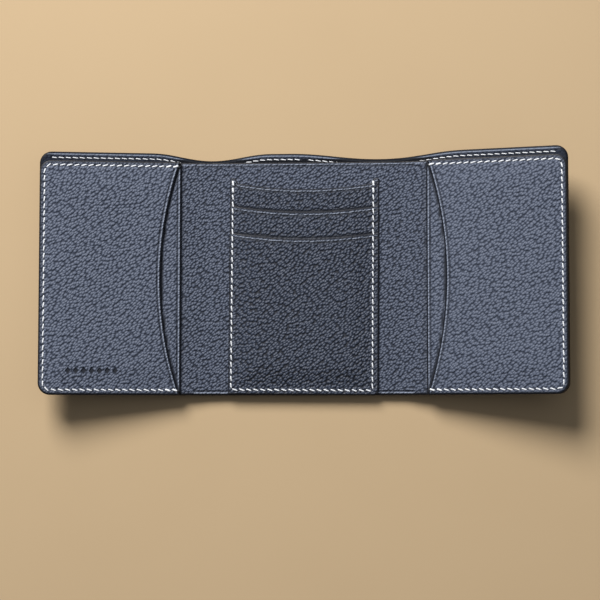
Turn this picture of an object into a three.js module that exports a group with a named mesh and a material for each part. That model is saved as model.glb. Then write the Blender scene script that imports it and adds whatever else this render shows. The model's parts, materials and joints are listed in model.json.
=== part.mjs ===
// Trifold wallet in pebbled leather, lying open with its card side up.
// Millimetres. +Z is up, X runs along the open wallet and +Y points to the mouth of the bill compartment.
//
// The wallet is a long shell bonded to its lining, with a divider in front of them: the bill compartment is
// the space between. The divider carries the card slots in the middle and two layered pockets on each leaf.
// Leather bends where it has no pockets on it. Each of these two folds is made as a pair of narrow strips on
// three parallel hinge lines, which lie on the top face of the divider.

import * as THREE from "three";

// Flat pattern, measured from the middle of the wallet outwards.
const centreWidth = 63.2;
const stripWidth = 9.7;
const leafWidth = 59.7;
const panelHeight = 97.8; // divider and pockets
const rimRise = 3.9; // shell above the divider at the mouth
const rimDips = [ // the mouth's edge is cut lower where the wallet folds
  { middle: -38.8, halfWidth: 25, depth: 2.9 },
  { middle: 31, halfWidth: 37, depth: 2.6 },
];
const cornerRadius = 5;
const hingeGap = 0.3; // between neighbouring solids on a hinge line

// Leather thicknesses and the spaces between layers.
const shellThickness = 1.2;
const liningThickness = 0.8;
const dividerThickness = 1.0;
const pocketThickness = 0.8;
const bondGap = 0.05;
const billGap = 0.6;
const pocketGap = 0.25;
const threadThickness = 0.3;
const threadWidth = 0.7;
const threadGap = 0.05;

// Card slots in the middle, as heights above the wallet's lower edge.
const firstSlotHeight = 86.1;
const secondSlotHeight = 76.1;
const frontSlotHeight = 64.7;
const slotsWidth = 62.6;
const slotsLean = 0.4; // degrees; the slots are sewn on very slightly askew
const slotSag = 2.7; // how far a slot's edge dips between the two seams
const slotSagHalfWidth = 29.8;
const earHeight = 1.9; // the first slot's edge rises to its seam ends
const earWidth = 3.4;
const wingOverlap = 4.0; // how far a slot's wide part runs behind the next slot
const tongueWidth = 57.0;
const firstTongueFoot = 11.5;
const secondTongueFoot = 7.5;
const tongueSeamInset = 1.5;
const frontCornerRadius = 2;

// Leaf pockets and seams.
const mouthInset = 0.6; // from the fold's outer hinge line
const crescentSag = 8.1;
const crescentInset = 1.1;
const mouthCornerCut = 1.2;
const leafSeamInset = 2.0;
const leafSeamStart = 0.3;
const centreSeamInset = 1.8;
const centreSeamTop = 1.2; // below the first slot's upper corner
const rimSeamInset = 2.2;
const rimSeamEndInset = 4.5;

// How the wallet lies and how it closes, in degrees from flat.
const leftRest = 10.5;
const rightRest = 14.5;
const stackClearance = 0.5; // between stacked layers when the wallet is shut

const arcSteps = 5;
const curveSteps = 14;
const rimStep = 2.4;

// Heights of the layers above the underside of the shell.
const liningBottom = shellThickness + bondGap;
const liningTop = liningBottom + liningThickness;
const dividerBottom = liningTop + billGap;
const hingeHeight = dividerBottom + dividerThickness;
const layerPitch = pocketGap + pocketThickness;
const layerBottom = (layer) => hingeHeight + pocketGap + layer * layerPitch;
const layerTop = (layer) => layerBottom(layer) + pocketThickness;
const leafStackTop = layerTop(1) + threadGap + threadThickness;
const centreStackTop = layerTop(2) + threadGap + threadThickness;

// Distances of the hinge lines and of the leaf's end from the middle.
const innerHinge = centreWidth / 2;
const creaseHinge = innerHinge + stripWidth;
const outerHinge = creaseHinge + stripWidth;
const leafEnd = outerHinge + leafWidth;

const lowerEdge = -(panelHeight + rimRise) / 2;
const panelTop = lowerEdge + panelHeight;
const rimCrest = panelTop + rimRise;

// The right leaf shuts first, straight onto the card slots. The left leaf then shuts over it.
const rightShutHeight = centreStackTop - hingeHeight + (leafStackTop - hingeHeight) + stackClearance;
const leftShutHeight = rightShutHeight + leafStackTop + stackClearance;

const sides = {
  left: { sign: -1, rest: leftRest, shutHeight: leftShutHeight },
  right: { sign: 1, rest: rightRest, shutHeight: rightShutHeight },
};

const materials = {
  shell: new THREE.MeshStandardMaterial({ color: 0x4b5468, roughness: 0.55, metalness: 0 }),
  lining: new THREE.MeshStandardMaterial({ color: 0x48506a, roughness: 0.6, metalness: 0 }),
  divider: new THREE.MeshStandardMaterial({ color: 0x4a5367, roughness: 0.58, metalness: 0 }),
  pocket: new THREE.MeshStandardMaterial({ color: 0x4f586d, roughness: 0.55, metalness: 0 }),
  slot: new THREE.MeshStandardMaterial({ color: 0x434c60, roughness: 0.55, metalness: 0 }),
  thread: new THREE.MeshStandardMaterial({ color: 0xe6ebee, roughness: 0.7, metalness: 0 }),
};

// The top edge of the shell: level at the crest, with a raised-cosine dip over each fold.
function rimAt(x) {
  return rimDips.reduce((height, { middle, halfWidth, depth }) => {
    const across = Math.abs(x - middle) / halfWidth;
    return across < 1 ? height - (depth / 2) * (1 + Math.cos(Math.PI * across)) : height;
  }, rimCrest);
}

const levelAt = () => panelTop;

// Points of a quarter circle about (cx, cy), from one angle to the other, in degrees.
function arcPoints(cx, cy, radius, from, to) {
  return Array.from({ length: arcSteps + 1 }, (_, i) => {
    const angle = THREE.MathUtils.degToRad(from + ((to - from) * i) / arcSteps);
    return [cx + radius * Math.cos(angle), cy + radius * Math.sin(angle)];
  });
}

// Points of a line that follows height(x) on one side of the wallet, from one distance to another.
function edgePoints(from, to, height, sign) {
  const steps = height === levelAt ? 1 : Math.max(1, Math.ceil(Math.abs(to - from) / rimStep));
  return Array.from({ length: steps + 1 }, (_, i) => {
    const distance = from + ((to - from) * i) / steps;
    return [distance, height(sign * distance)];
  });
}

// The outline of a stretch of a long panel, with rounded corners where it ends at the leaf's end.
function stretchOutline(from, to, height, sign) {
  const ends = to === leafEnd;
  const cornerX = to - cornerRadius;
  if (!ends) return [[from, lowerEdge], [to, lowerEdge], ...edgePoints(to, from, height, sign)];
  return [
    [from, lowerEdge],
    ...arcPoints(cornerX, lowerEdge + cornerRadius, cornerRadius, -90, 0),
    ...arcPoints(cornerX, height(sign * leafEnd) - cornerRadius, cornerRadius, 0, 90).slice(0, -1),
    ...edgePoints(cornerX, from, height, sign),
  ];
}

// A band of the thread's width along a path.
function bandOutline(path) {
  const sideOf = (offset) =>
    path.map(([x, y], i) => {
      const [ax, ay] = path[Math.max(i - 1, 0)];
      const [bx, by] = path[Math.min(i + 1, path.length - 1)];
      const length = Math.hypot(bx - ax, by - ay);
      return [x - (offset * (by - ay)) / length, y + (offset * (bx - ax)) / length];
    });
  return [...sideOf(-threadWidth / 2), ...sideOf(threadWidth / 2).reverse()];
}

// A flat piece cut to an outline. x is measured from the frame's own hinge line, towards the wallet's end.
function cutPiece(name, material, outline, frame, bottom, thickness) {
  const points = outline.map(([x, y]) => new THREE.Vector2(frame.sign * (x - frame.origin), y));
  const options = { depth: thickness, bevelEnabled: false };
  const mesh = new THREE.Mesh(new THREE.ExtrudeGeometry(new THREE.Shape(points), options), material);
  mesh.name = name;
  mesh.position.z = bottom - hingeHeight;
  frame.group.add(mesh);
  return mesh;
}

// The shell, its lining, the divider and the thread along the mouth all run the length of the wallet.
function addLongPanels(place, frame, from, to) {
  const rimPath = edgePoints(from, Math.min(to, leafEnd - rimSeamEndInset), rimAt, frame.sign)
    .map(([x, y]) => [x, y - rimSeamInset]);
  const rimOutline = stretchOutline(from, to, rimAt, frame.sign);
  cutPiece(`shell_${place}`, materials.shell, rimOutline, frame, 0, shellThickness);
  cutPiece(`shell_lining_${place}`, materials.lining, rimOutline, frame, liningBottom, liningThickness);
  cutPiece(`rim_thread_${place}`, materials.thread, bandOutline(rimPath), frame,
    liningTop + threadGap, threadThickness);
  cutPiece(`divider_${place}`, materials.divider, stretchOutline(from, to, levelAt, frame.sign), frame,
    dividerBottom, dividerThickness);
}

// A slot's upper edge: one shallow arc, lowest in the middle.
function slotEdge(height, halfWidth) {
  const radius = (slotSagHalfWidth ** 2 + slotSag ** 2) / (2 * slotSag);
  return Array.from({ length: curveSteps + 1 }, (_, i) => {
    const x = halfWidth - (2 * halfWidth * i) / curveSteps;
    return [x, lowerEdge + height + radius - Math.sqrt(radius ** 2 - x ** 2)];
  });
}

// A card slot with wings held by the side seams and a narrower tongue down to its own seam.
function tongueSlotOutline(height, nextHeight, foot, eared) {
  const half = slotsWidth / 2;
  const wingFoot = lowerEdge + nextHeight - wingOverlap;
  const earTop = lowerEdge + height + slotSag + earHeight;
  const ear = (sign) => [[sign * half, earTop], [sign * (half - earWidth / 2), earTop]];
  return [
    [-tongueWidth / 2, lowerEdge + foot],
    [tongueWidth / 2, lowerEdge + foot],
    [tongueWidth / 2, wingFoot],
    [half, wingFoot],
    ...(eared ? ear(1) : []),
    ...slotEdge(height, eared ? half - earWidth : half),
    ...(eared ? ear(-1).reverse() : []),
    [-half, wingFoot],
    [-tongueWidth / 2, wingFoot],
  ];
}

function frontSlotOutline() {
  const cornerX = slotsWidth / 2 - frontCornerRadius;
  const cornerY = lowerEdge + frontCornerRadius;
  return [
    ...arcPoints(-cornerX, cornerY, frontCornerRadius, 180, 270),
    ...arcPoints(cornerX, cornerY, frontCornerRadius, 270, 360),
    ...slotEdge(frontSlotHeight, slotsWidth / 2),
  ];
}

function centreSeamPath() {
  const x = slotsWidth / 2 - centreSeamInset;
  const top = lowerEdge + firstSlotHeight + slotSag + earHeight - centreSeamTop;
  const bottom = lowerEdge + centreSeamInset;
  return [
    [-x, top],
    ...arcPoints(-x + 1, bottom + 1, 1, 180, 270),
    ...arcPoints(x - 1, bottom + 1, 1, 270, 360),
    [x, top],
  ];
}

// A hidden seam across the foot of a slot's tongue, which keeps its card from sliding down.
function tongueSeamPath(foot) {
  const x = tongueWidth / 2 - tongueSeamInset;
  const y = lowerEdge + foot + tongueSeamInset;
  return [[-x, y], [x, y]];
}

function addFootThread(name, foot, frame, layer) {
  cutPiece(name, materials.thread, bandOutline(tongueSeamPath(foot)), frame,
    layerTop(layer) + threadGap, pocketGap - 2 * threadGap);
}

function addCardSlots(centre) {
  const frame = { ...centre, group: new THREE.Group() };
  const lean = THREE.MathUtils.degToRad(slotsLean);
  frame.group.rotation.z = -lean;
  frame.group.position.y = (slotsWidth / 2) * Math.sin(lean); // keeps the lower corner inside the edge
  centre.group.add(frame.group);

  cutPiece("card_slot_first", materials.slot,
    tongueSlotOutline(firstSlotHeight, secondSlotHeight, firstTongueFoot, true), frame,
    layerBottom(0), pocketThickness);
  addFootThread("card_slot_first_foot_thread", firstTongueFoot, frame, 0);
  cutPiece("card_slot_second", materials.slot,
    tongueSlotOutline(secondSlotHeight, frontSlotHeight, secondTongueFoot, false), frame,
    layerBottom(1), pocketThickness);
  addFootThread("card_slot_second_foot_thread", secondTongueFoot, frame, 1);
  cutPiece("card_slot_front", materials.slot, frontSlotOutline(), frame, layerBottom(2), pocketThickness);
  cutPiece("card_slot_seam_thread", materials.thread, bandOutline(centreSeamPath()), frame,
    layerTop(2) + threadGap, threadThickness);
}

// The leaf's outer end is the same on both pockets. Their mouths face the fold.
function leafOutline(mouth) {
  return [...stretchOutline(outerHinge, leafEnd, levelAt, 1).slice(1, -1), ...mouth];
}

function straightMouth() {
  const x = outerHinge + mouthInset;
  return [
    [x + mouthCornerCut, panelTop],
    [x, panelTop - mouthCornerCut],
    [x, lowerEdge + mouthCornerCut],
    [x + mouthCornerCut, lowerEdge],
  ];
}

function crescentMouth() {
  const half = panelHeight / 2;
  const radius = (half ** 2 + crescentSag ** 2) / (2 * crescentSag);
  return Array.from({ length: curveSteps + 1 }, (_, i) => {
    const y = half - (panelHeight * i) / curveSteps;
    const sag = crescentSag - radius + Math.sqrt(radius ** 2 - y ** 2);
    return [outerHinge + crescentInset + sag, lowerEdge + half + y];
  });
}

function leafSeamPath() {
  const radius = cornerRadius - leafSeamInset;
  const cornerX = leafEnd - cornerRadius;
  return [
    [outerHinge + leafSeamStart, lowerEdge + leafSeamInset],
    ...arcPoints(cornerX, lowerEdge + cornerRadius, radius, -90, 0),
    ...arcPoints(cornerX, panelTop - cornerRadius, radius, 0, 90),
    [outerHinge + leafSeamStart, panelTop - leafSeamInset],
  ];
}

function addLeafPockets(side, frame) {
  cutPiece(`${side}_rear_pocket`, materials.pocket, leafOutline(straightMouth()), frame,
    layerBottom(0), pocketThickness);
  cutPiece(`${side}_front_pocket`, materials.pocket, leafOutline(crescentMouth()), frame,
    layerBottom(1), pocketThickness);
  cutPiece(`${side}_leaf_seam_thread`, materials.thread, bandOutline(leafSeamPath()), frame,
    layerTop(1) + threadGap, threadThickness);
}

// A frame on a hinge line, turned up by some degrees from the frame that it hangs on.
function hingedFrame(parent, origin, degrees) {
  const group = new THREE.Group();
  group.position.x = parent.sign * (origin - parent.origin);
  group.rotation.y = -parent.sign * THREE.MathUtils.degToRad(degrees);
  parent.group.add(group);
  return { group, origin, sign: parent.sign };
}

// Shut, the two outer hinges of a fold turn by the angle at which its strips reach the shut height, and the
// crease between them by the rest of the half turn. At rest each has turned by the same share of that.
function addSide(side, centre) {
  const { sign, rest, shutHeight } = sides[side];
  const outerShut = THREE.MathUtils.radToDeg(Math.asin(shutHeight / (2 * stripWidth)));
  const outerRest = (outerShut * rest) / 180;
  const creaseRest = rest - 2 * outerRest;
  const gap = hingeGap / 2;

  const inner = hingedFrame({ group: centre.group, origin: 0, sign }, innerHinge, outerRest);
  addLongPanels(`${side}_fold_inner`, inner, innerHinge + gap, creaseHinge - gap);

  const outer = hingedFrame(inner, creaseHinge, creaseRest);
  addLongPanels(`${side}_fold_outer`, outer, creaseHinge + gap, outerHinge - gap);

  const leaf = hingedFrame(outer, outerHinge, outerRest);
  addLongPanels(`${side}_leaf`, leaf, outerHinge + gap, leafEnd);
  addLeafPockets(side, leaf);
}

const wallet = new THREE.Group();
const centre = { group: new THREE.Group(), origin: 0, sign: 1 };
centre.group.position.z = hingeHeight;
wallet.add(centre.group);

addLongPanels("centre", centre, -innerHinge + hingeGap / 2, innerHinge - hingeGap / 2);
addCardSlots(centre);
addSide("left", centre);
addSide("right", centre);

// The leaves lie at different angles, so the middle of the whole wallet is moved onto the origin.
wallet.updateMatrixWorld(true);
const extent = new THREE.Box3().setFromObject(wallet, true);
wallet.position.x = -(extent.min.x + extent.max.x) / 2;

export default wallet;
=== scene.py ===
import json
import math

import bpy
import numpy as np
from mathutils import Euler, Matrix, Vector


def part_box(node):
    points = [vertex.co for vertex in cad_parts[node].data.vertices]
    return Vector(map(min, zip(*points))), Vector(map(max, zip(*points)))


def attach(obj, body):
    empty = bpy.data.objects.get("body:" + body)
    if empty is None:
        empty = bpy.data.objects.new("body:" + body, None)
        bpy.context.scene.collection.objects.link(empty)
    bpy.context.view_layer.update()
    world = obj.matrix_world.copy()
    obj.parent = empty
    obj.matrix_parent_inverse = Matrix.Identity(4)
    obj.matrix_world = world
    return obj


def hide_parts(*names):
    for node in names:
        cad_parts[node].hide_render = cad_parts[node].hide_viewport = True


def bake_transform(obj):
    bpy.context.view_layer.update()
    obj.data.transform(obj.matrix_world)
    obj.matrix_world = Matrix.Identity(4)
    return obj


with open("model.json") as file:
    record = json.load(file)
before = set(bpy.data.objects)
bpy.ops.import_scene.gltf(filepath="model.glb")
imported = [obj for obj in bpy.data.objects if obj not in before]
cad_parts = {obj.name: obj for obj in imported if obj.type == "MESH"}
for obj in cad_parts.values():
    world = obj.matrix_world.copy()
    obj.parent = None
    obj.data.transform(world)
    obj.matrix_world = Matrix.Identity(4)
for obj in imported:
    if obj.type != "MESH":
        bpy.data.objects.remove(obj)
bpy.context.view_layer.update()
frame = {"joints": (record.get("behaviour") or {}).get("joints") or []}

mm = 0.001

# The wallet is worked out lying flat, in millimetres: s runs along it from the middle, y runs up to the mouth
# and z is the height over the shell's underside. Each piece is then folded up to rest.

# How the wallet folds

foldSettings = {"stiffBefore": 3.0, "stiffAfter": 2.9}  # how far a bend spreads past its outermost hinges


def smooth(x):
    # 0 below 0, 1 above 1, and 3x^2 - 2x^3 between
    x = np.clip(x, 0, 1)
    return x * x * (3 - 2 * x)


def readSide(name):
    # One side's first hinge, the distance between hinges, their rest angles and the bodies they join
    chain = [next(j for j in frame["joints"] if j["name"] == f"{name}_{part}")
             for part in ("leaf_fold", "crease", "leaf_bend")]
    points = [np.array(j["pos_m"]) / mm for j in chain]
    strip = float(np.linalg.norm(points[1] - points[0]))
    return {
        "name": name,
        "sign": -1 if name == "left" else 1,
        "first": points[0],
        "strip": strip,
        "rest": [-math.radians(j["range_deg"][0]) for j in chain],
        "bodies": ["centre", f"{name}_fold_inner", f"{name}_fold_outer", f"{name}_leaf"],
    }


sides = {name: readSide(name) for name in ("left", "right")}
middle = (sides["left"]["first"][0] + sides["right"]["first"][0]) / 2
hingeHeight = sides["left"]["first"][2]
for side in sides.values():
    inner = abs(side["first"][0] - middle)
    side["hinges"] = [inner, inner + side["strip"], inner + 2 * side["strip"]]
    half = side["strip"] / 2
    edges = [inner - foldSettings["stiffBefore"], inner + half, inner + half + side["strip"],
             side["hinges"][2] + foldSettings["stiffAfter"]]
    side["bends"] = list(zip(edges[:-1], edges[1:]))
innerHinge, creaseHinge, outerHinge = sides["left"]["hinges"]


def fold(side, d, y, z, stiff=False):
    # Turns a flat point up about the three hinges, outermost first, each by its rest angle times a smooth
    # share that grows across the hinge's stretch. A stiff piece takes each angle whole.
    x, up = np.array(d, float), np.array(z, float)
    for hinge, angle, (start, end) in list(zip(side["hinges"], side["rest"], side["bends"]))[::-1]:
        turn = angle * (1.0 if stiff else smooth((d - start) / (end - start)))
        over, above = x - hinge, up - hingeHeight
        x = hinge + over * np.cos(turn) - above * np.sin(turn)
        up = hingeHeight + over * np.sin(turn) + above * np.cos(turn)
    return np.stack([middle + side["sign"] * x, y + 0 * x, up], -1) * mm


# Measures that all the leather shares

lowerEdge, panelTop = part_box("shell_centre")[0].y / mm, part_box("divider_centre")[1].y / mm
panelHeight = panelTop - lowerEdge
layers = {  # each layer's lower and upper face
    "shell": (0.0, 1.2), "lining": (1.25, 2.05), "divider": (2.65, 3.65),
    "rear": (3.90, 4.70), "front": (4.95, 5.75), "top": (6.00, 6.80),
}
layerGap = layers["rear"][0] - layers["divider"][1]
leafEnd, cornerRadius = outerHinge + 59.7, 5.0
rim = {"rise": 3.9, "dips": [(-38.8, 25, 2.9), (31, 37, 2.6)]}
rimCrest = panelTop + rim["rise"]
lay = {"leafCup": 0.28, "cupReach": 45, "cupLevel": 0.35, "centreArch": 0.11, "archReach": 1.15,
       "ripple": 0.07, "rippleLengths": (9.0, 11.0, 17.0), "rippleSway": 0.6, "rippleStart": 1.3, "calm": 12}
seam = {"depth": 0.26, "width": 0.75, "pinch": 2.4, "pinchFade": 3.0}
skiving = {"leaf": 0.72, "slots": 0.38, "flat": 2.2, "fade": 10.0, "foldStart": -1.0, "foldFade": 9.0}
slotsHalf = 31.3
edgeFinish = {"round": 0.5, "fall": 0.2, "fallWidth": 1.35, "creaseInset": 1.55, "creaseDepth": 0.15,
              "creaseWidth": 0.24, "creasePress": 0.55, "pressWidth": 0.3}
farAway = 99.0  # a distance from an edge that nothing near the edge can reach


def rimAt(s):
    # The mouth's edge: level at the crest, less a raised-cosine dip over each fold
    height = np.full_like(np.asarray(s, float), rimCrest)
    for centre, halfWidth, depth in rim["dips"]:
        across = np.clip(np.abs(s - centre) / halfWidth, 0, 1)
        height -= depth / 2 * (1 + np.cos(np.pi * across))
    return height


def wave(s, y):
    # How far the leather lies off a plane: the leaves cup a little at their outer corners, the middle arches,
    # and a slow ripple, a product of two sines, runs over the leaves
    along, across, sway = lay["rippleLengths"]
    out = smooth((np.abs(s) - outerHinge) / lay["cupReach"])
    up = (y - lowerEdge) / panelHeight - 0.5
    cup = lay["leafCup"] * out * (4 * up * up - lay["cupLevel"])
    arch = lay["centreArch"] * smooth(lay["archReach"] - np.abs(s) / innerHinge) * (1 - 4 * up * up)
    ripple = np.sin(s / along + lay["rippleSway"] * np.sin(y / sway)) * np.sin(y / across + lay["rippleStart"])
    calm = smooth((np.abs(s) - outerHinge) / lay["calm"])
    return cup + arch + lay["ripple"] * ripple * calm


# How a panel is cut and shaped

# Grid lines crowd together where an edge rolls over and a seam presses in, and not at a flush cut
nearEdge = [0, .08, .25, .45, .65, .8, .95, 1.1, 1.25, 1.4, 1.6, 1.8, 2.05, 2.3, 2.6, 3.0, 3.6, 4.4, 5.4]
flushEdge = [0, 0.6]


def stations(length, step, starts=nearEdge, ends=nearEdge, extra=()):
    # Fractions of a length: close together near both ends, about a step apart between
    a, b = np.array(starts), length - np.array(ends)[::-1]
    between = np.linspace(a[-1], b[0], max(2, int(round((b[0] - a[-1]) / step)) + 1))[1:-1]
    every = np.concatenate([a, between, b, np.array(extra, float)])
    every = np.unique(np.round(every / length, 6))
    return every[(every >= 0) & (every <= 1)]


def cutting(near, far, low, high, kinds, farRadius=0.0, nearRadius=0.0):
    # The outline of a panel. Each side is a function and a kind: sewn, lip (a free edge) or butt (cut flush)
    still = lambda value: value if callable(value) else (lambda other: value + 0 * np.asarray(other, float))
    return {"near": still(near), "far": still(far), "low": still(low), "high": still(high),
            "kinds": dict(zip(("near", "far", "low", "high"), kinds)),
            "farRadius": farRadius, "nearRadius": nearRadius}


def corner(distance, radius):
    # How far an arc of that radius stands in from the side, at a distance from the other side
    if radius <= 0:
        return 0 * distance
    short = np.clip(radius - distance, 0, radius)
    return radius - np.sqrt(radius * radius - short * short)


def layOut(cut, columns, rows, inset):
    # A grid of flat points over the outline, drawn in by the inset on every side but a butt. Each round
    # spaces the rows from low to high, then the columns from near to far, until both agree
    a, b = np.meshgrid(columns, rows)
    shrink = {side: 0.0 if kind == "butt" else inset for side, kind in cut["kinds"].items()}
    y0 = (cut["low"](0) + cut["high"](0)) / 2
    s = cut["near"](y0) + a * (cut["far"](y0) - cut["near"](y0))
    for _ in range(4):
        low, high = cut["low"](s) + shrink["low"], cut["high"](s) - shrink["high"]
        y = low + b * (high - low)
        toEnd = np.minimum(y - low, high - y)
        left = cut["near"](y) + shrink["near"] + corner(toEnd, max(cut["nearRadius"] - inset, 0))
        right = cut["far"](y) - shrink["far"] - corner(toEnd, max(cut["farRadius"] - inset, 0))
        s = left + a * (right - left)
    return s, y


def distances(cut, s, y):
    # Distance of each point from the sewn sides and from the free lips, with round corners measured radially
    gap = {"near": s - cut["near"](y), "far": cut["far"](y) - s,
           "low": y - cut["low"](s), "high": cut["high"](s) - y}
    away = {"sewn": np.full_like(s, farAway), "lip": np.full_like(s, farAway)}
    for side, kind in cut["kinds"].items():
        if kind != "butt":
            away[kind] = np.minimum(away[kind], gap[side])
    for side in ("far", "near"):
        kind, radius = cut["kinds"][side], cut[side + "Radius"]
        for end in ("low", "high") if radius > 0 and kind != "butt" else ():
            inside = (gap[side] < radius) & (gap[end] < radius)
            radial = radius - np.hypot(radius - gap[side], radius - gap[end])
            away[kind] = np.where(inside, np.minimum(radial, farAway), away[kind])
    return away


def pinch(sewn):
    # 1 at a sewn edge, where all the layers are pressed together, fading to 0 inside the seam
    return 1 - smooth((sewn - seam["pinch"]) / seam["pinchFade"])


def skive(shape, s, y, z):
    # Leather is pared thin where it is sewn: heights over the divider shrink by a share that fades inside the
    # seams, and again where a leaf meets its fold
    if shape["skive"] == "leaf":
        inside = np.minimum(leafEnd - s, np.minimum(y - lowerEdge, panelTop - y))
        share = (1 - skiving["leaf"]) * smooth((s - outerHinge - skiving["foldStart"]) / skiving["foldFade"])
    elif shape["skive"] == "slots":
        inside = np.minimum(slotsHalf - np.abs(s), y - lowerEdge)
        share = 1 - skiving["slots"]
    else:
        return z
    keep = 1 - share * (1 - smooth((inside - skiving["flat"]) / skiving["fade"]))
    return hingeHeight + (z - hingeHeight) * keep


def topSurface(shape, s, y):
    # Height of the upper face: its layer and the wave, less the fall at the edges, the creased line along a
    # lip and the seam's groove, plus what closes the gap to the next layer at a sewn edge
    away = distances(shape["cut"], s, y)
    anyEdge = np.minimum(away["sewn"], away["lip"])
    z = shape["top"] + wave(shape["sign"] * s, y)
    z = z - edgeFinish["fall"] * (1 - smooth(anyEdge / edgeFinish["fallWidth"])) ** 2
    if shape["crease"]:
        line = np.exp(-((away["lip"] - edgeFinish["creaseInset"]) / edgeFinish["creaseWidth"]) ** 2)
        z = z - edgeFinish["creaseDepth"] * line
    if shape["seamInset"]:
        z = z - seam["depth"] * np.exp(-((away["sewn"] - shape["seamInset"]) / seam["width"]) ** 2)
    z = z + shape["gaps"][0] / 2 * pinch(away["sewn"])
    for extra in shape["extras"]:
        z = z + extra(s, y)
    return skive(shape, s, y, z)


def underSurface(shape, s, y):
    # Height of the lower face: level with the layer, closed down onto the one below at a sewn edge
    away = distances(shape["cut"], s, y)
    z = shape["bottom"] + wave(shape["sign"] * s, y) - shape["gaps"][1] / 2 * pinch(away["sewn"])
    for change in (*shape["backSeams"], *shape["lifts"]):
        z = z + change(s, y)
    return skive(shape, s, y, z)


plainShape = {"seamInset": 0.0, "crease": True, "gaps": (0.0, 0.0), "backSeams": (), "skive": "",
              "grainSlack": 0.0}


def makeShape(layer, cut, sign=1, lifts=(), extras=(), **more):
    # A panel's cut and its layer. Lifts raise both faces, extras change the upper one, the gaps above and
    # below close when sewn, and slack spreads the grain's place along the folds
    bottom, top = layers[layer]
    return plainShape | more | {"cut": cut, "sign": sign, "bottom": bottom, "top": top,
                                "lifts": lifts, "extras": (*lifts, *extras)}


def stand(name, data):
    # An object in the scene, made of that data
    thing = bpy.data.objects.new(name, data)
    bpy.context.scene.collection.objects.link(thing)
    return thing


def putMesh(name, points, faces, material, flat, edgesAndShade, faceSlots=None, sharpAt=55):
    # Makes a mesh object of points and faces, with its flat place, its distances from lips and seams, and its
    # pressed marks and painted shade on every point
    mesh = bpy.data.meshes.new(name)
    mesh.from_pydata(points.tolist(), [], [f.tolist() for f in faces])
    for layerName, values in (("flat", flat), ("edgesAndShade", edgesAndShade)):
        attribute = mesh.attributes.new(layerName, "FLOAT_VECTOR", "POINT")
        attribute.data.foreach_set("vector", np.ascontiguousarray(values, np.float32).ravel())
    for one in material if isinstance(material, (list, tuple)) else [material]:
        mesh.materials.append(one)
    if faceSlots is not None:
        mesh.polygons.foreach_set("material_index", np.asarray(faceSlots, np.int32))
    mesh.shade_smooth()
    mesh.set_sharp_from_angle(angle=math.radians(sharpAt))
    mesh.validate()
    return stand(name, mesh)


def panel(name, shape, columns, rows, material, side=None, stiff=False, turn=None, pressedAndShaded=(), loops=6):
    # A sheet of leather: an upper and a lower face on the same grid, joined by a half-round edge that stands
    # out along the outline's normal by sin(t) and falls from the upper face to the lower by cos(t)
    cut, sign = shape["cut"], shape["sign"]
    s, y = layOut(cut, columns, rows, edgeFinish["round"])
    zTop, zUnder = topSurface(shape, s, y), underSurface(shape, s, y)
    nRows, nColumns = s.shape
    index = np.arange(nRows * nColumns).reshape(nRows, nColumns)
    ring = np.concatenate([index[0, :-1], index[:-1, -1], index[-1, :0:-1], index[:0:-1, 0]])
    rs, ry = s.ravel()[ring], y.ravel()[ring]
    ds, dy = np.roll(rs, -1) - np.roll(rs, 1), np.roll(ry, -1) - np.roll(ry, 1)
    long = np.maximum(np.hypot(ds, dy), 1e-9)
    ns, ny = dy / long, -ds / long
    for kind, hit in (("near", ring % nColumns == 0), ("far", ring % nColumns == nColumns - 1)):
        if cut["kinds"][kind] == "butt":
            ns = np.where(hit, 0, ns)
            ends = np.where(ring // nColumns == 0, -1.0, np.where(ring // nColumns == nRows - 1, 1.0, 0))
            ny = np.where(hit, ends, ny)
    zt, zu = zTop.ravel()[ring], zUnder.ravel()[ring]
    t = (np.arange(1, loops) / loops * np.pi)[:, None]
    out = edgeFinish["round"] * np.sin(t)
    es, ey, ez = rs + out * ns, ry + out * ny, (zt + zu) / 2 + (zt - zu) / 2 * np.cos(t)
    allS, allY, allZ = [np.concatenate([part.ravel() for part in parts])
                        for parts in ((s, es, s), (y, ey, y), (zTop, ez, zUnder))]

    base = index[:-1, :-1].ravel()
    quads = np.stack([base, base + 1, base + 1 + nColumns, base + nColumns], 1)
    n, count = len(ring), nRows * nColumns
    lines = [ring] + [count + k * n + np.arange(n) for k in range(loops - 1)]
    lines.append(count + (loops - 1) * n + ring)
    walls = [np.stack([a, b, np.roll(b, -1), np.roll(a, -1)], 1) for a, b in zip(lines[:-1], lines[1:])]
    under = quads[:, ::-1] + count + (loops - 1) * n
    faces = np.concatenate([quads, *walls, under])
    if sign < 0:
        faces = faces[:, ::-1]

    away = distances(cut, allS, allY)
    line = np.exp(-((away["lip"] - edgeFinish["creaseInset"]) / edgeFinish["pressWidth"]) ** 2)
    pressAndShade = edgeFinish["creasePress"] * line * shape["crease"]
    # Pressed marks and painted shade lines join the crease press, the darkest of them winning
    for darkLine in pressedAndShaded:
        pressAndShade = np.maximum(pressAndShade, darkLine(allS, allY))
    ts, ty = turn(allS, allY) if turn else (allS, allY)
    points = fold(side, ts, ty, allZ, stiff) if side else np.stack([middle + ts, ty, allZ], -1) * mm
    grainS = ts + shape["grainSlack"] * np.clip(ts - innerHinge, 0, outerHinge - innerHinge)
    flat = np.stack([grainS * sign, ty, allZ], 1)
    return putMesh(name, points, faces, material, flat, np.stack([away["lip"], away["sewn"], pressAndShade], 1))


def onBody(piece, body, node):
    # A piece that moves whole with one body
    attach(piece, body)
    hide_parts(node)


def acrossFold(piece, side, k, node):
    # A piece that lies across one hinge: its placement is baked into its mesh and the two bodies' own parts
    # are hidden
    pair = side["bodies"][k:k + 2]
    bend = [Vector(fold(side, d, 0.0, hingeHeight)) for d in side["bends"][k]]
    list(pair)
    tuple(bend[0])
    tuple(bend[1])
    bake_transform(piece)
    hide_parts(*[f"{node}_{body}" for body in pair])


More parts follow.
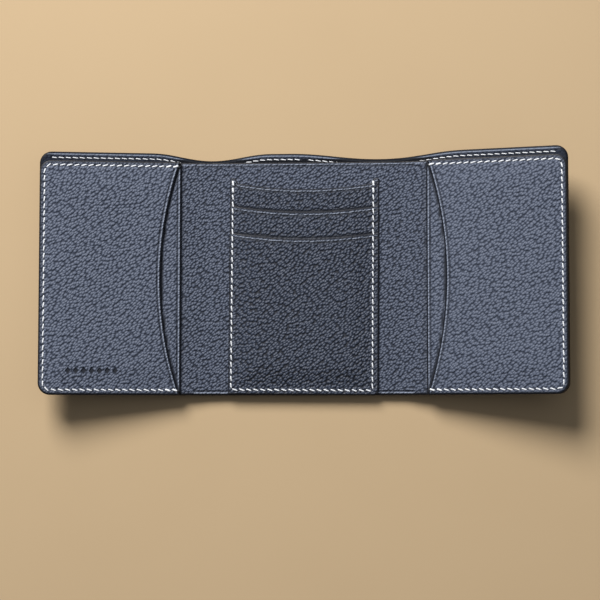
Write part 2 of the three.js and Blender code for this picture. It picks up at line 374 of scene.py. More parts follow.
def stretches(side):
    # Where one side's middle, fold and leaf stretches begin and end
    return [0.0, innerHinge + side["strip"] / 2, creaseHinge + side["strip"] / 2, leafEnd]


# Leather and thread finishes

class Wire:
    # A node's output that can be added, multiplied and so on: each sign adds a Math node
    def __init__(self, finish, socket):
        self.finish, self.socket = finish, socket

    def math(self, operation, *others, clamp=False):
        # Any Math node with this value in its first socket
        settings = {"operation": operation, "use_clamp": clamp}
        return self.finish.add("Math", settings, dict(enumerate((self, *others))))

    __add__ = __radd__ = lambda self, other: self.math("ADD", other)
    __mul__ = __rmul__ = lambda self, other: self.math("MULTIPLY", other)
    __sub__ = lambda self, other: self.math("SUBTRACT", other)
    __truediv__ = lambda self, other: self.math("DIVIDE", other)
    __rsub__ = lambda self, other: self.finish.add("Math", {"operation": "SUBTRACT"}, {0: other, 1: self})

    def clip(self):
        # Held between 0 and 1
        return self.math("ADD", 0.0, clamp=True)

    def between(self, low, high):
        # 0 at low and 1 at high, eased at both ends
        return self.finish.add("MapRange", {"interpolation_type": "SMOOTHSTEP"},
                               {0: self, 1: low, 2: high, 3: 0.0, 4: 1.0})


class Finish:
    # A material being built. add() takes a node's type, its settings and the values or links of its sockets
    def __init__(self, name):
        self.material = bpy.data.materials.new(name)
        self.material.use_nodes = True
        self.tree = self.material.node_tree
        self.tree.nodes.clear()

    def add(self, kind, settings=None, sockets=None, out=0):
        node = self.tree.nodes.new("ShaderNode" + kind)
        for key, value in (settings or {}).items():
            setattr(node, key, value)
        for key, value in (sockets or {}).items():
            if isinstance(value, Wire):
                self.tree.links.new(value.socket, node.inputs[key])
            else:
                node.inputs[key].default_value = value
        return Wire(self, node.outputs[out]) if len(node.outputs) else None

    def attribute(self, name):
        # A vector that each mesh carries on its points
        return self.add("Attribute", {"attribute_name": name}, out=1)

    def parts(self, vector, count):
        # The first numbers of a vector
        return [self.add("SeparateXYZ", {}, {0: vector}, out=k) for k in range(count)]

    def mix(self, share, first, second):
        # first at share 0 and second at share 1, in a straight blend
        return self.add("Mix", {"data_type": "RGBA"}, {0: share, 6: first, 7: second}, out=2)

    def noise(self, place, scale, detail=2.0, rough=0.5):
        # Cloudy noise between 0 and 1, about one blot to each 1 / scale of the place
        return self.add("TexNoise", {}, {"Vector": place, "Scale": scale, "Detail": detail,
                                         "Roughness": rough})

    def surface(self, **sockets):
        # The finished surface, with an underscore in each socket name for its space
        named = {key.replace("_", " "): value for key, value in sockets.items()}
        bsdf = self.add("BsdfPrincipled", {}, named)
        self.add("OutputMaterial", {}, {"Surface": bsdf})
        return self.material


def colour(red, green, blue):
    # A colour as it is picked on screen, made linear
    linear = [((c / 255 + 0.055) / 1.055) ** 2.4 for c in (red, green, blue)]
    return (*linear, 1.0)


def pebbles(finish, place, look):
    # Rounded grains: cells stretched along a slanting row, each domed as 1 - (d / r)^2 from its middle
    laid = finish.add("Mapping", {"vector_type": "TEXTURE"}, {
        "Vector": place, "Rotation": (0, 0, math.radians(look["slant"])),
        "Scale": (look["length"], look["width"], look["width"])})
    away = finish.add("TexVoronoi", {"feature": "SMOOTH_F1", "voronoi_dimensions": "2D"}, {
        "Vector": laid, "Scale": 1.0, "Smoothness": look["soft"], "Randomness": look["loose"]})
    away = away / look["reach"]
    return (1 - away * away).clip()


def leather(name, look):
    # Grains domed by their cells, with an uneven height and fine pores, fading at painted edges, pressed lines
    # and painted shade lines.
    # The colour runs from valley to crown by the same dome, then takes a painted highlight along each lip's
    # bevel and burns dark at seam margins and creases. Pressed marks darken it, and so does the painted shade
    # where one piece runs under another's lip and inside the mouth.
    finish = Finish(name)
    flat = finish.attribute("flat")
    edgesAndShade = finish.attribute("edgesAndShade")
    lip, sewn, pressedAndShaded = finish.parts(edgesAndShade, 3)
    drift = finish.add("TexNoise", {}, {"Vector": flat, "Scale": look["driftScale"], "Detail": 1.0}, out=1)
    push = finish.add("VectorMath", {"operation": "SCALE"}, {0: drift, "Scale": look["drift"]})
    place = finish.add("VectorMath", {"operation": "ADD"}, {0: flat, 1: push})

    grains = pebbles(finish, place, look["grain"])
    uneven = finish.noise(flat, *look["uneven"])
    pores = finish.noise(flat, *look["pores"])
    slow = finish.noise(flat, *look["patches"])

    paint = 1 - lip.math("MINIMUM", sewn).between(look["paintFrom"], look["paintTo"])
    margin = 1 - sewn.between(*look["margin"])
    paintFlat, pressAndShadeFlat, marginFlat = look["flatten"]
    relief = (1 - paint * paintFlat) * (1 - pressedAndShaded.clip() * pressAndShadeFlat) * (1 - margin * marginFlat)
    swell = (1 - look["unevenShare"] / 2) + uneven * look["unevenShare"]
    height = (grains * swell * look["depth"] + pores * look["poreDepth"]) * relief
    height = height + uneven * look["dentDepth"]
    normal = finish.add("Bump", {}, {"Strength": 1.0, "Distance": mm, "Height": height})

    tone = finish.mix(grains.between(*look["domeTones"]), look["valley"], look["crown"])
    tone = finish.mix((slow - look["patchFrom"]).clip() * look["patchy"], tone, look["pale"])
    # A painted highlight along each lip's bevel, and the dark heat-creased line further in
    for line, shade in (("bead", "bevelHighlight"), ("crease", "burnAndShade")):
        at, width, share = look[line]
        near = 1 - (lip - at).math("ABSOLUTE").between(0.0, width)
        tone = finish.mix(near * share, tone, look[shade])
    tone = finish.mix(margin * look["marginShare"], tone, look["burnAndShade"])
    # Pressed marks and the painted shade lines darken the colour towards the darkest tone
    tone = finish.mix(pressedAndShaded.clip() * look["pressAndShadeShare"], tone, look["burnAndShade"])
    tone = finish.mix(paint, tone, look["paint"])
    valleyRough, poreRough, paintRough, pressAndShadeRough = look["roughBy"]
    rough = look["rough"] + (1 - grains) * valleyRough + (pores - 0.5) * poreRough
    rough = rough - paint * paintRough + pressedAndShaded.clip() * pressAndShadeRough
    return finish.surface(Base_Color=tone, Roughness=rough, Normal=normal,
                          Specular_IOR_Level=look["gloss"])


leatherBase = {
    "grain": {"slant": 40, "length": 1.45, "width": 1.04, "loose": 0.85, "soft": 0.1, "reach": 0.74},
    "depth": 0.47, "poreDepth": 0.05, "dentDepth": 0.05, "drift": 0.6, "driftScale": 0.5,
    "uneven": (0.28, 3.0), "pores": (3.2, 2.0, 0.6), "patches": (0.05, 2.0),  # scale, detail and roughness
    "unevenShare": 0.4, "patchFrom": 0.35, "domeTones": (0.0, 0.95),
    "flatten": (0.85, 0.95, 0.4),  # how much of the relief paint, pressing with painted shade, and the seam's margin take away
    "crown": colour(82, 90, 107), "valley": colour(47, 54, 69), "pale": colour(91, 100, 117),
    "bevelHighlight": colour(150, 160, 178), "burnAndShade": colour(14, 18, 27), "paint": colour(10, 13, 21),
    "bead": (1.0, 0.34, 0.6), "crease": (1.9, 0.36, 0.6),  # distance from the lip, half width and share
    "patchy": 0.25, "margin": (0.5, 2.1), "marginShare": 0.5, "pressAndShadeShare": 0.92,
    "paintFrom": 0.4, "paintTo": 0.75, "rough": 0.5, "gloss": 0.26,
    "roughBy": (0.14, 0.16, 0.06, 0.2),  # added by valleys and pores, taken by paint, added by pressing and painted shade
}
pocketLeather = leather("pocketLeather", leatherBase)
slotLeather = leather("cardSlotLeather", leatherBase | {
    "crown": colour(54, 62, 78), "valley": colour(20, 25, 36), "pale": colour(60, 68, 84),
    "depth": 0.6, "gloss": 0.4,
    "marginShare": 0.15, "paintFrom": 0.22, "paintTo": 0.48})
dividerLeather = leather("dividerLeather", leatherBase | {
    "grain": leatherBase["grain"] | {"length": 1.38, "width": 1.0}, "crown": colour(72, 80, 97),
    "valley": colour(32, 38, 51), "depth": 0.54, "gloss": 0.32})
# The lining's colours are far darker than the outer leather's: painted shade for the inside of the bill
# compartment, which shows between the rim and the divider
liningLeather = leather("liningLeather", leatherBase | {
    "grain": leatherBase["grain"] | {"length": 1.2, "width": 0.9}, "depth": 0.16,
    "crown": colour(40, 47, 62), "valley": colour(20, 25, 36), "burnAndShade": colour(5, 7, 12), "gloss": 0.1})
shellLeather = leather("shellLeather", leatherBase)


threadLook = {"along": 9.0, "around": 3.0, "plyDepth": 0.06, "fibre": (7.0, 3.0, 0.7), "fibreDepth": 0.02,
              "groove": colour(176, 184, 194), "ply": colour(242, 245, 248), "fuzz": colour(200, 206, 214),
              "plyTones": (0.0, 0.7), "fuzzShare": 0.25, "rough": 0.62, "fuzzRough": 0.15}


def sewingThread():
    # Three-ply thread: the plies show as slanting ridges, a sine of the place along plus the place around
    look, finish = threadLook, Finish("sewingThread")
    flat = finish.attribute("flat")
    along, around = finish.parts(flat, 2)
    ply = ((along * look["along"] + around * look["around"]).math("SINE") + 1) * 0.5
    fibre = finish.noise(flat, *look["fibre"])
    height = ply * look["plyDepth"] + fibre * look["fibreDepth"]
    normal = finish.add("Bump", {}, {"Strength": 1.0, "Distance": mm, "Height": height})
    tone = finish.mix(ply.between(*look["plyTones"]), look["groove"], look["ply"])
    tone = finish.mix(fibre * look["fuzzShare"], tone, look["fuzz"])
    return finish.surface(Base_Color=tone, Roughness=look["rough"] + fibre * look["fuzzRough"], Normal=normal)


holeLook = {"scale": 3.0, "deep": colour(16, 20, 28), "edge": colour(30, 36, 46), "rough": 0.8}


def paintedHoleShade():
    # Painted shade for the inside of an awl slit: a soft noise between two near blacks
    finish = Finish("awlHolePaintedShade")
    flat = finish.attribute("flat")
    tone = finish.mix(finish.noise(flat, holeLook["scale"]), holeLook["deep"], holeLook["edge"])
    return finish.surface(Base_Color=tone, Roughness=holeLook["rough"])


threadMaterials = [sewingThread(), paintedHoleShade()]
print("materials made")


# The mouths of the leaf pockets

pockets = {
    "rear": {"inset": 0.6, "cornerCut": 1.2, "lift": 0.16, "reach": 9},
    "front": {"inset": 1.1, "sag": 8.1, "lift": 0.42, "reach": 14},
    "step": 1.15,
}


def straightMouth(y):
    # A straight edge with its two ends cut off at a slant
    toEnd = np.minimum(y - lowerEdge, panelTop - y)
    start = outerHinge + pockets["rear"]["inset"]
    return start + np.clip(pockets["rear"]["cornerCut"] - toEnd, 0, None)


def crescentMouth(y):
    # An arc that stands in from the fold by the sag at mid height
    half, sag = panelHeight / 2, pockets["front"]["sag"]
    radius = (half * half + sag * sag) / (2 * sag)
    up = np.clip(y - lowerEdge - half, -half, half)
    return outerHinge + pockets["front"]["inset"] + sag - radius + np.sqrt(radius * radius - up * up)


# The long panels: shell, lining and divider

leafSeam = {"inset": 2.0, "start": 1.6}
centreSeam = {"inset": 1.8, "aside": -0.6, "corner": 1.0, "topDrop": 0.7, "backEnd": 3.2, "grooveEnd": 1.5}
rimSeam = {"inset": 2.55, "start": 1.5, "endInset": 4.5, "stout": 0.78, "samples": 120}
mouthShade = {"share": 1.2, "height": 1.25, "fade": 0.4, "lessOnLeaf": 0.62, "leafFade": 4.0}
foldStep = 0.7
groove = {"depth": 0.38, "width": 0.6, "outside": 0.5}
creviceShadeLine = {"offset": 0.4, "width": 0.5, "share": 1.15}


def paintedCreviceShade(away):
    # Painted shade: a dark line on a piece just above where it runs in under the lip of the one in front,
    # standing in for the shade in that crevice
    return creviceShadeLine["share"] * np.exp(-((away - creviceShadeLine["offset"]) / creviceShadeLine["width"]) ** 2)


def shellBackGroove(sign):
    # The stitches on the outside lie in a channel: a Gaussian of the distance from each row
    def cutAt(d, y):
        s = sign * d
        rimLine = np.abs(rimAt(s) - rimSeam["inset"] - y)
        toEnd = leafEnd - leafSeam["inset"] - d
        sideRow = np.where(toEnd > -groove["outside"], np.abs(toEnd), farAway)
        lower = np.abs(y - lowerEdge - leafSeam["inset"])
        rows = np.where(d > outerHinge, np.minimum(sideRow, lower), farAway)
        toCentreRow = np.abs(y - lowerEdge - centreSeam["inset"])
        centreRow = np.where(d < innerHinge - centreSeam["grooveEnd"], toCentreRow, farAway)
        nearest = np.minimum(np.minimum(rimLine, rows), centreRow)
        return groove["depth"] * np.exp(-(nearest / groove["width"]) ** 2)
    return cutAt


def paintedMouthShade(d, y):
    # Painted shade on the lining as it runs down behind the divider into the bill compartment, less on the
    # leaves, which are sewn shut
    openness = 1 - mouthShade["lessOnLeaf"] * smooth((d - outerHinge) / mouthShade["leafFade"])
    below = 1 - smooth((y - panelTop - mouthShade["height"]) / mouthShade["fade"])
    return mouthShade["share"] * openness * below


longPanels = {
    "shell": {"node": "shell", "material": shellLeather, "height": rimAt, "step": 1.6, "gaps": (0.05, 0.0),
              "crease": False, "pressedAndShaded": [],
              "grainSlack": 0.55},  # the outside stretches by twice this when the folds shut
    "lining": {"node": "shell_lining", "material": liningLeather, "height": rimAt, "step": 1.8,
               "gaps": (0.6, 0.05), "crease": False, "pressedAndShaded": [paintedMouthShade]},
    "divider": {"node": "divider", "material": dividerLeather,
                "height": lambda s: panelTop + 0 * np.asarray(s, float), "step": 1.3, "gaps": (0.0, 0.6),
                # the divider takes a painted shade line where it runs under the rear pocket's straight mouth
                "crease": True, "pressedAndShaded": [lambda d, y: paintedCreviceShade(straightMouth(y) - d)]},
}


def longPanel(kind, settings, side):
    # Three pieces to a side, cut flush where two meet: middle, fold and leaf
    sign, cuts = side["sign"], stretches(side)
    height = lambda d: settings["height"](sign * d)
    for k, part in enumerate(("middle", "fold", "leaf")):
        ends = part == "leaf"
        start, stop = cuts[k], cuts[k + 1]
        kinds = ("butt", "sewn" if ends else "butt", "sewn" if ends else "lip", "lip")
        cut = cutting(start, stop, lowerEdge, height, kinds, farRadius=cornerRadius if ends else 0.0)
        shape = makeShape(kind, cut, sign, crease=settings["crease"] and not ends,
                          gaps=settings["gaps"] if ends else (0.0, 0.0),
                          backSeams=[shellBackGroove(sign)] if kind == "shell" else [],
                          grainSlack=settings.get("grainSlack", 0.0),
                          skive="leaf" if ends else "")
        columns = stations(stop - start, foldStep if part == "fold" else settings["step"], flushEdge,
                           nearEdge if ends else flushEdge)
        rows = stations(panelHeight + rim["rise"], settings["step"])
        piece = panel(f"{kind}_{side['name']}_{part}", shape, columns, rows, settings["material"], side,
                      pressedAndShaded=settings["pressedAndShaded"])
        acrossFold(piece, side, k, settings["node"])


for kind, settings in longPanels.items():
    for side in sides.values():
        longPanel(kind, settings, side)
print("shell, lining and divider made")


# The leaf pockets

mark = {"s": -88.6, "y": -40.9, "count": 7, "pitch": 3.25, "halfWidth": 1.3, "halfHeight": 1.75,
        "depth": 0.3, "fine": 0.24, "ease": 0.35, "mouthInset": 3.9}


def mouthLift(mouth, settings):
    # The mouth stands open a little: highest at mid height, falling off away from the edge
    def rise(d, y):
        up = 2 * (y - lowerEdge) / panelHeight - 1
        away = np.clip(d - mouth(y), 0, None) / settings["reach"]
        return settings["lift"] * np.clip(1 - up * up, 0, 1) * np.exp(-away * away)
    return rise


def lozenges(s, y):
    # A row of small lozenges: 1 inside each, eased at its sides, where |u|/a + |v|/b is under 1
    half = mark["count"] * mark["pitch"] / 2
    along = s - mark["s"]
    u = np.mod(along + half, mark["pitch"]) - mark["pitch"] / 2
    inside = np.abs(u) / mark["halfWidth"] + np.abs(y - mark["y"]) / mark["halfHeight"]
    return smooth((1 - inside) / mark["ease"]) * (np.abs(along) < half)


def leafPocket(side, which):
    # One pocket of a leaf. The left front one has the mark, where its grid is fine enough to press it in
    sign, settings = side["sign"], pockets[which]
    mouth = straightMouth if which == "rear" else crescentMouth
    cut = cutting(mouth, leafEnd, lowerEdge, panelTop, ("lip", "sewn", "sewn", "sewn"), cornerRadius)
    width = leafEnd - outerHinge - 1
    extras, pressedAndShaded, extraColumns, extraRows = [], [], (), ()
    if which == "rear":
        # The rear pocket takes a painted shade line where it runs under the front pocket's crescent mouth
        pressedAndShaded = [lambda d, y: paintedCreviceShade(crescentMouth(y) - d)]
    if which == "front" and side["name"] == "left":
        extras = [lambda d, y: -mark["depth"] * lozenges(sign * d, y)]
        pressedAndShaded = [lambda d, y: lozenges(sign * d, y)]
        reach = mark["count"] * mark["pitch"] / 2 + 1
        start = outerHinge + mark["mouthInset"]
        extraColumns = np.arange(-mark["s"] - reach, -mark["s"] + reach, mark["fine"]) - start
        extraColumns = extraColumns * width / (leafEnd - start)
        tall = mark["halfHeight"] + 0.5
        extraRows = np.arange(mark["y"] - tall, mark["y"] + tall, mark["fine"]) - lowerEdge
    shape = makeShape(which, cut, sign, seamInset=leafSeam["inset"] if which == "front" else 0,
                      gaps=(layerGap if which == "rear" else 0.0, layerGap),
                      lifts=[mouthLift(mouth, settings)], extras=extras, skive="leaf")
    columns = stations(width, pockets["step"], extra=extraColumns)
    rows = stations(panelHeight, pockets["step"], extra=extraRows)
    piece = panel(f"{side['name']}_{which}_pocket_leather", shape, columns, rows, pocketLeather, side,
                  stiff=True, pressedAndShaded=pressedAndShaded)
    onBody(piece, side["bodies"][3], f"{side['name']}_{which}_pocket")
    return shape


leafTops = {}
for side in sides.values():
    leafPocket(side, "rear")
    leafTops[side["name"]] = leafPocket(side, "front")
print("leaf pockets made")


# The card slots

slots = {
    "lean": 0.4, "sag": 2.7, "sagHalfWidth": 29.8, "earHeight": 1.9, "earWidth": 3.4,
    "earEase": 0.6, "wingOverlap": 4.0, "wingEase": 1.5, "tongueWidth": 57.0, "step": 1.1, "frontCorner": 2.0,
    "first": {"layer": "rear", "height": 86.1, "next": 76.1, "foot": 11.5, "lift": 0.10},
    "second": {"layer": "front", "height": 76.1, "next": 64.7, "foot": 7.5, "lift": 0.22},
    "front": {"layer": "top", "height": 64.7, "lift": 0.28},
    "reach": 12,
}
leanAngle = math.radians(slots["lean"])


def lean(s, y):
    # The slots are sewn on very slightly askew: a small turn about the middle and a small rise
    rise = slotsHalf * math.sin(leanAngle)
    return (s * math.cos(leanAngle) + y * math.sin(leanAngle),
            y * math.cos(leanAngle) - s * math.sin(leanAngle) + rise)


def slotEdge(height, eared=False):
    # One shallow arc, lowest in the middle; the first slot's edge climbs to an ear at each end
    radius = (slots["sagHalfWidth"] ** 2 + slots["sag"] ** 2) / (2 * slots["sag"])

    def edge(s):
        across = np.minimum(np.abs(s), slotsHalf)
        arc = lowerEdge + height + radius - np.sqrt(radius * radius - across * across)
        if not eared:
            return arc
        ear = smooth((across - slotsHalf + slots["earWidth"]) / (slots["earWidth"] * slots["earEase"]))
        return arc + (lowerEdge + height + slots["sag"] + slots["earHeight"] - arc) * ear
    return edge


def slotLift(high, settings):
    # A slot's lip stands off a little: most at mid width, falling off as a Gaussian down from its edge
    def rise(s, y):
        away = np.clip(high(s) - y, 0, None) / slots["reach"]
        across = np.clip(1 - (s / slotsHalf) ** 2, 0, 1)
        return settings["lift"] * across * np.exp(-away * away)
    return rise


def cardSlot(name):
    # The front slot is a plain panel, and each one behind it has wings that narrow to a hidden tongue
    settings = slots[name]
    high = slotEdge(settings["height"], name == "first")
    pressedAndShaded = []
    if name == "front":
        low, half, radius = lowerEdge, (lambda y: slotsHalf + 0 * y), slots["frontCorner"]
        kinds = ("sewn", "sewn", "sewn", "lip")
    else:
        low, radius = lowerEdge + settings["foot"], 0.0
        wing = lowerEdge + settings["next"] - slots["wingOverlap"]
        narrow = slots["tongueWidth"] / 2
        half = lambda y: narrow + (slotsHalf - narrow) * smooth((y - wing) / slots["wingEase"] + 1)
        kinds = ("sewn", "sewn", "lip", "lip")
        nextEdge = slotEdge(settings["next"])
        # A painted shade line where this slot runs in under the next slot's lip
        pressedAndShaded = [lambda s, y: paintedCreviceShade(y - nextEdge(s))]
    cut = cutting(lambda y: -half(y), half, low, high, kinds, farRadius=radius)
    shape = makeShape(settings["layer"], cut, seamInset=centreSeam["inset"], gaps=(0.0, layerGap),
                      lifts=[slotLift(high, settings)], skive="slots")
    columns = stations(2 * slotsHalf, slots["step"])
    rows = stations(settings["height"] + slots["sag"], slots["step"])
    piece = panel(f"card_slot_{name}_leather", shape, columns, rows, slotLeather, turn=lean, pressedAndShaded=pressedAndShaded)
    onBody(piece, "centre", f"card_slot_{name}")
    return shape


slotTops = {name: cardSlot(name) for name in ("first", "second", "front")}
print("card slots made")


# The seams

stitch = {"pitch": 2.95, "length": 2.6, "halfWidth": 0.27, "halfHeight": 0.23, "crown": 0.1,
          "plunge": 0.6, "sag": 0.05, "thinning": 0.32, "stations": 9, "sides": 8, "doubled": 1.5,
          "turnLength": 5.3, "wrap": 2.1, "aim": 0.7, "steep": 0.6, "backSink": 0.02}
hole = {"halfLength": 0.6, "halfWidth": 0.24, "high": 0.035, "deep": 0.25, "lean": 2.6}
footSeam = {"endInset": 1.5, "height": 1.5, "stout": 0.42, "sink": 0.03}
# Each row leans its own way: degrees along the lower edge, up the sides and along the upper edge
slants = {"left": (19, 9, -15), "right": (-19, 9, 15), "centre": (-19, 9, 0), "rim": (0, 0, -8),
          "back": (12, 12, 12)}


def stitchBody(length, width, tall):
    # A tube along u: its middle line is level and plunges as the eighth power at both ends, its section an
    # ellipse that thins towards the ends
    t = np.linspace(-1, 1, stitch["stations"])
    t = np.sign(t) * np.abs(t) ** 0.8
    rise = stitch["crown"] - stitch["plunge"] * t ** 8 - stitch["sag"] * t * t
    girth = 1 - stitch["thinning"] * t ** 4
    a = np.arange(stitch["sides"]) / stitch["sides"] * 2 * np.pi
    u = (t * length / 2)[:, None] + 0 * a
    v = (girth * width)[:, None] * np.cos(a)
    h = rise[:, None] + (girth * tall)[:, None] * np.sin(a)
    n, m = stitch["stations"], stitch["sides"]
    index = np.arange(n * m).reshape(n, m)
    a0, a1 = index[:-1], index[1:]
    quads = np.stack([a0, a1, np.roll(a1, -1, 1), np.roll(a0, -1, 1)], -1).reshape(-1, 4)
    caps = [index[0], index[-1][::-1]]
    twist = np.stack([u, 0 * u + a / stitch["wrap"], h], -1).reshape(-1, 3)
    return np.stack([u, v, h], -1).reshape(-1, 3), quads[:, ::-1], [c[::-1] for c in caps], twist


def holeBody():
    # An awl slit: a thin six-sided dark lens lying on the leather, painted shade where the hole is
    a = np.arange(6) / 6 * 2 * np.pi
    ringPoints = np.stack([np.cos(a) * hole["halfLength"], np.sin(a) * hole["halfWidth"]], 1)
    top, under = [np.column_stack([ringPoints, np.full(6, h)]) for h in (hole["high"], -hole["deep"])]
    i = np.arange(6)
    walls = np.stack([i, i + 6, np.roll(i, -1) + 6, np.roll(i, -1)], 1)
    return np.concatenate([top, under]), walls, [i, (i + 6)[::-1]]


def alongPath(path, starts):
    # Points and headings at given distances along a polyline
    path = np.asarray(path, float)
    step = np.hypot(*np.diff(path, axis=0).T)
    run = np.concatenate([[0], np.cumsum(step)])
    at = lambda d: np.stack([np.interp(d, run, path[:, k]) for k in range(2)], 1)
    before, after = [at(np.clip(starts + aim, 0, run[-1])) for aim in (-stitch["aim"], stitch["aim"])]
    heading = np.arctan2(*(after - before).T[::-1])
    return at(starts), heading


def pathLength(path):
    # A polyline's length
    return float(np.hypot(*np.diff(np.asarray(path, float), axis=0).T).sum())


def leanOf(heading, spots, slant):
    # Which of the three slants a stitch takes: by its heading first, then by the height of its place
    lower, side, upper = slant
    along = np.where(spots[:, 1] < (lowerEdge + panelTop) / 2, lower, upper)
    return np.radians(np.where(np.abs(np.sin(heading)) > stitch["steep"], side, along))


def seamStitches(path, slant, doubles=2):
    # Evenly spaced stitches along a path, stouter where the thread is doubled at the ends
    count = max(2, int(round(pathLength(path) / stitch["pitch"])))
    pitch = pathLength(path) / count
    spots, heading = alongPath(path, (np.arange(count) + 0.5) * pitch)
    holes, holeHeading = alongPath(path, np.arange(count + 1) * pitch)
    stout = np.ones(count)
    stout[:doubles] = stout[count - doubles:] = stitch["doubled"]
    return {"spots": spots, "heading": heading + leanOf(heading, spots, slant), "stout": stout,
            "holes": holes, "holeHeading": holeHeading + hole["lean"] * leanOf(holeHeading, holes, slant)}


def sew(name, row, surface, place, signOf=1, back=False):
    # Copies the stitch to every spot: turned to its heading, set on the leather's surface, then folded up
    body, quads, caps, twist = stitchBody(stitch["length"], stitch["halfWidth"], stitch["halfHeight"])
    slit, slitWalls, slitCaps = holeBody()
    points, faces, slotsOf, flats = [], [], [], []
    start = 0
    for slotIndex, (template, shapes, spots, heading, stout) in enumerate((
            (body, [quads, *caps], row["spots"], row["heading"], row["stout"]),
            (slit, [slitWalls, *slitCaps], row["holes"], row["holeHeading"], np.ones(len(row["holes"]))))):
        c, s_ = np.cos(heading)[:, None], np.sin(heading)[:, None]
        u = template[None, :, 0]
        v, h = [template[None, :, k] * stout[:, None] for k in (1, 2)]
        axisS, axisY = spots[:, :1] + u * c, spots[:, 1:] + u * s_
        s, y = axisS - v * s_, axisY + v * c
        z = surface(axisS, axisY) + (-h if back else h)
        points.append(place(s.ravel(), y.ravel(), z.ravel()))
        if slotIndex == 0:
            local = np.broadcast_to(twist, (len(spots), *twist.shape)).copy()
            local[:, :, 0] += np.arange(len(spots))[:, None] * stitch["turnLength"]
        else:
            local = np.stack([s, y, z], -1)
        flats.append(local.reshape(-1, 3))
        offsets = start + np.arange(len(spots))[:, None] * len(template)
        for shape in shapes:
            shape = np.atleast_2d(shape)
            grown = (shape[None] + offsets[:, :, None]).reshape(-1, shape.shape[1])
            turned = grown[:, ::-1] if (signOf < 0) != back else grown
            faces.extend(turned)
            slotsOf.extend([slotIndex] * len(turned))
        start += len(spots) * len(template)
    points, flats = np.concatenate(points), np.concatenate(flats)
    return putMesh(name, points, faces, threadMaterials, flats, 0 * flats, slotsOf, sharpAt=50)


def arc(centre, radius, start, stop, steps=8):
    # Points on a circle between two angles in degrees
    a = np.radians(np.linspace(start, stop, steps))
    return np.stack([centre[0] + radius * np.cos(a), centre[1] + radius * np.sin(a)], 1)


def leafSeamPath(back=False):
    # Along the lower edge, round the two outer corners and back along the top, which doesn't reach the back
    start, radius, inset = outerHinge + leafSeam["start"], cornerRadius - leafSeam["inset"], leafSeam["inset"]
    x, low, high = leafEnd - cornerRadius, lowerEdge + cornerRadius, panelTop - cornerRadius
    rise = [[[start, lowerEdge + inset]], arc((x, low), radius, -90, 0)]
    over = [[[x + radius, high]]] if back else [arc((x, high), radius, 0, 90), [[start, panelTop - inset]]]
    return np.concatenate(rise + over)


def centreSeamPath():
    # Down one side of the card slots, along the lower edge and up the other side
    x, r, aside = slotsHalf - centreSeam["inset"], centreSeam["corner"], [centreSeam["aside"], 0]
    ear = slots["first"]["height"] + slots["sag"] + slots["earHeight"]
    top, bottom = lowerEdge + ear - centreSeam["topDrop"], lowerEdge + centreSeam["inset"]
    return aside + np.concatenate([[[-x, top]], arc((-x + r, bottom + r), r, 180, 270),
                                   arc((x - r, bottom + r), r, 270, 360), [[x, top]]])


def overSlots(s, y):
    # The height of whichever card slot lies uppermost under a point
    z = topSurface(slotTops["first"], s, y)
    for name in ("second", "front"):
        high = slotTops[name]["cut"]["high"](s)
        here = topSurface(slotTops[name], s, y)
        z = z + (here - z) * smooth((high - y) / edgeFinish["round"] + 0.5)
    return z


def wholeSide(layer, sign, **more):
    # One side of the shell or the lining as a single shape, for its seams to lie on
    kinds = ("butt", "sewn", "sewn", "lip")
    cut = cutting(0.0, leafEnd, lowerEdge, lambda d: rimAt(sign * d), kinds, cornerRadius)
    return makeShape(layer, cut, sign, skive="leaf", **more)


def shellBack(sign):
    # The shell's outer face, just under the surface
    shape = wholeSide("shell", sign, backSeams=[shellBackGroove(sign)])
    return lambda s, y: underSurface(shape, np.abs(s), y) - stitch["backSink"]


def rowsWithin(rows, start, stop):
    # The stitches of a row whose middles lie in one stretch of the wallet
    keep, holes = [(rows[key][:, 0] >= start) & (rows[key][:, 0] < stop) for key in ("spots", "holes")]
    groups = {"spots": keep, "heading": keep, "stout": keep, "holes": holes, "holeHeading": holes}
    return {key: rows[key][chosen] for key, chosen in groups.items()}


def sewLeaf(side):
    # A leaf's seam, on the front pocket in front and on the shell behind
    sign, name = side["sign"], side["name"]
    place = lambda s, y, z: fold(side, s, y, z, stiff=True)
    front = lambda s, y: topSurface(leafTops[name], s, y)
    for back, surface, slant in ((False, front, slants[name]), (True, shellBack(sign), slants["back"])):
        row = seamStitches(leafSeamPath(back), slant)
        piece = sew(f"{name}_leaf_seam" + "_back" * back, row, surface, place, sign, back)
        onBody(piece, side["bodies"][3], f"{name}_leaf_seam_thread")


def sewRim(side):
    # The mouth seam follows the rim at its inset, on the lining in front and on the shell behind
    sign = side["sign"]
    distance = np.linspace(rimSeam["start"], leafEnd - rimSeam["endInset"], rimSeam["samples"])
    path = np.stack([distance, rimAt(sign * distance) - rimSeam["inset"]], 1)
    rows = seamStitches(path, [sign * a for a in slants["rim"]], doubles=0)
    rows["stout"] = rows["stout"] * rimSeam["stout"]
    top = wholeSide("lining", sign, crease=False)
    cuts = stretches(side)
    place = lambda s, y, z: fold(side, s, y, z)
    for k, part in enumerate(("middle", "fold", "leaf")):
        row = rowsWithin(rows, cuts[k], cuts[k + 1])
        for back in (False, True):
            surface = shellBack(sign) if back else lambda s, y: topSurface(top, s, y)
            name = f"rim_seam_{side['name']}_{part}" + "_back" * back
            piece = sew(name, row, surface, place, sign, back=back)
            acrossFold(piece, side, k, "rim_thread")


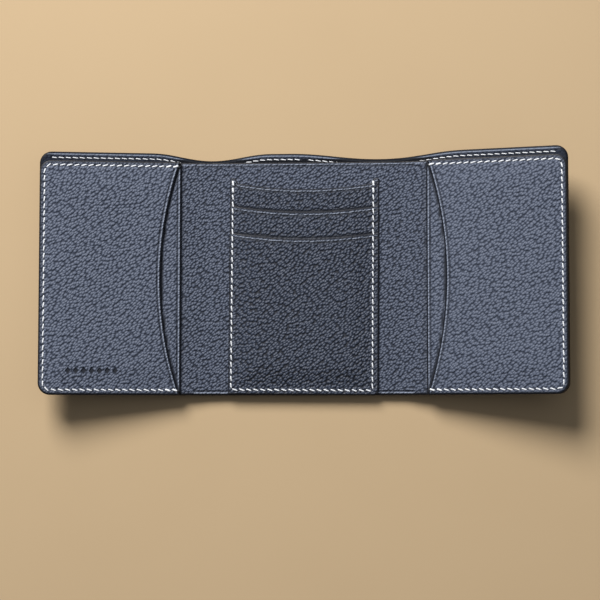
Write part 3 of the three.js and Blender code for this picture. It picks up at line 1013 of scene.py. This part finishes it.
def sewCentre():
    # The card slots' seam in front and behind, and the two hidden foot seams across the tongues
    def place(s, y, z):
        ts, ty = lean(s, y)
        return np.stack([middle + ts, ty, z], -1) * mm

    rows = seamStitches(centreSeamPath(), slants["centre"])
    onBody(sew("card_slot_seam", rows, overSlots, place), "centre", "card_slot_seam_thread")

    x, y = innerHinge - centreSeam["backEnd"], lowerEdge + centreSeam["inset"]
    rows = seamStitches([[-x, y], [x, y]], slants["back"])
    straight = lambda s, y, z: np.stack([middle + s, y, z], -1) * mm
    piece = sew("card_slot_seam_back", rows, shellBack(1), straight, back=True)
    onBody(piece, "centre", "card_slot_seam_thread")

    for name in ("first", "second"):
        reach = slots["tongueWidth"] / 2 - footSeam["endInset"]
        foot = lowerEdge + slots[name]["foot"] + footSeam["height"]
        rows = seamStitches([[-reach, foot], [reach, foot]], slants["back"])
        rows["stout"] = rows["stout"] * footSeam["stout"]
        top = slotTops[name]
        surface = lambda s, y: topSurface(top, s, y) - footSeam["sink"]
        piece = sew(f"card_slot_{name}_foot_seam", rows, surface, place)
        onBody(piece, "centre", f"card_slot_{name}_foot_thread")


for side in sides.values():
    sewLeaf(side)
    sewRim(side)
sewCentre()
print("seams sewn")


# Table, lights and camera

studio = {
    "table": colour(172, 150, 118), "mottle": colour(158, 136, 104), "mottleShare": 0.35,
    "mottling": (14.0, 4.0), "mottleFrom": 0.4, "rough": 0.9, "tableSize": 8.0, "tableHeight": -0.00015,
    "key": {"at": (-0.40, 0.88, 0.92), "size": 0.70, "power": 34.0, "tint": (1.0, 0.97, 0.94)},
    "fill": {"at": (0.25, 0.10, 0.95), "size": 1.0, "power": 1.6, "tint": (0.95, 0.97, 1.0)},
    "sky": (0.60, 0.63, 0.70, 1.0), "skyStrength": 0.13,
}


def makeTable():
    # A wide level sheet just under the wallet, with a soft mottling
    half = studio["tableSize"] / 2
    mesh = bpy.data.meshes.new("table")
    corners = [(x * half, y * half, studio["tableHeight"]) for x, y in ((-1, -1), (1, -1), (1, 1), (-1, 1))]
    mesh.from_pydata(corners, [], [(0, 1, 2, 3)])
    table = stand("table", mesh)
    finish = Finish("tableTop")
    place = finish.add("TexCoord", {}, out=3)
    cloud = finish.noise(place, *studio["mottling"]) - studio["mottleFrom"]
    tone = finish.mix(cloud.clip() * studio["mottleShare"], studio["table"], studio["mottle"])
    mesh.materials.append(finish.surface(Base_Color=tone, Roughness=studio["rough"]))


def makeLamp(name, settings):
    # A round soft lamp that looks at the middle of the wallet
    lamp = bpy.data.lights.new(name, "AREA")
    lamp.shape, lamp.size = "DISK", settings["size"]
    lamp.energy, lamp.color = settings["power"], settings["tint"]
    body = stand(name, lamp)
    body.location = settings["at"]
    body.rotation_euler = (-Vector(settings["at"])).to_track_quat("-Z", "Y").to_euler()


makeTable()
makeLamp("keyLamp", studio["key"])
makeLamp("fillLamp", studio["fill"])
world = bpy.data.worlds.new("studioSky")
world.use_nodes = True
world.node_tree.nodes["Background"].inputs[0].default_value = studio["sky"]
world.node_tree.nodes["Background"].inputs[1].default_value = studio["skyStrength"]
bpy.context.scene.world = world
bpy.context.scene.view_settings.view_transform = "Standard"

view = {"distance": 0.80, "tilt": (-4.234, -3.586, 0.248), "aside": (0.001497, 0.010823),
        "lens": 114.2, "sensor": 36.0, "nearest": 0.05, "farthest": 10.0}
turn = Euler([math.radians(a) for a in view["tilt"]], "XYZ").to_matrix().transposed()
lensData = bpy.data.cameras.new("camera")
lensData.lens, lensData.sensor_width = view["lens"], view["sensor"]
lensData.clip_start, lensData.clip_end = view["nearest"], view["farthest"]
camera = stand("camera", lensData)
camera.location = turn @ Vector((-view["aside"][0], -view["aside"][1], view["distance"]))
camera.rotation_euler = turn.to_euler()
bpy.context.scene.camera = camera
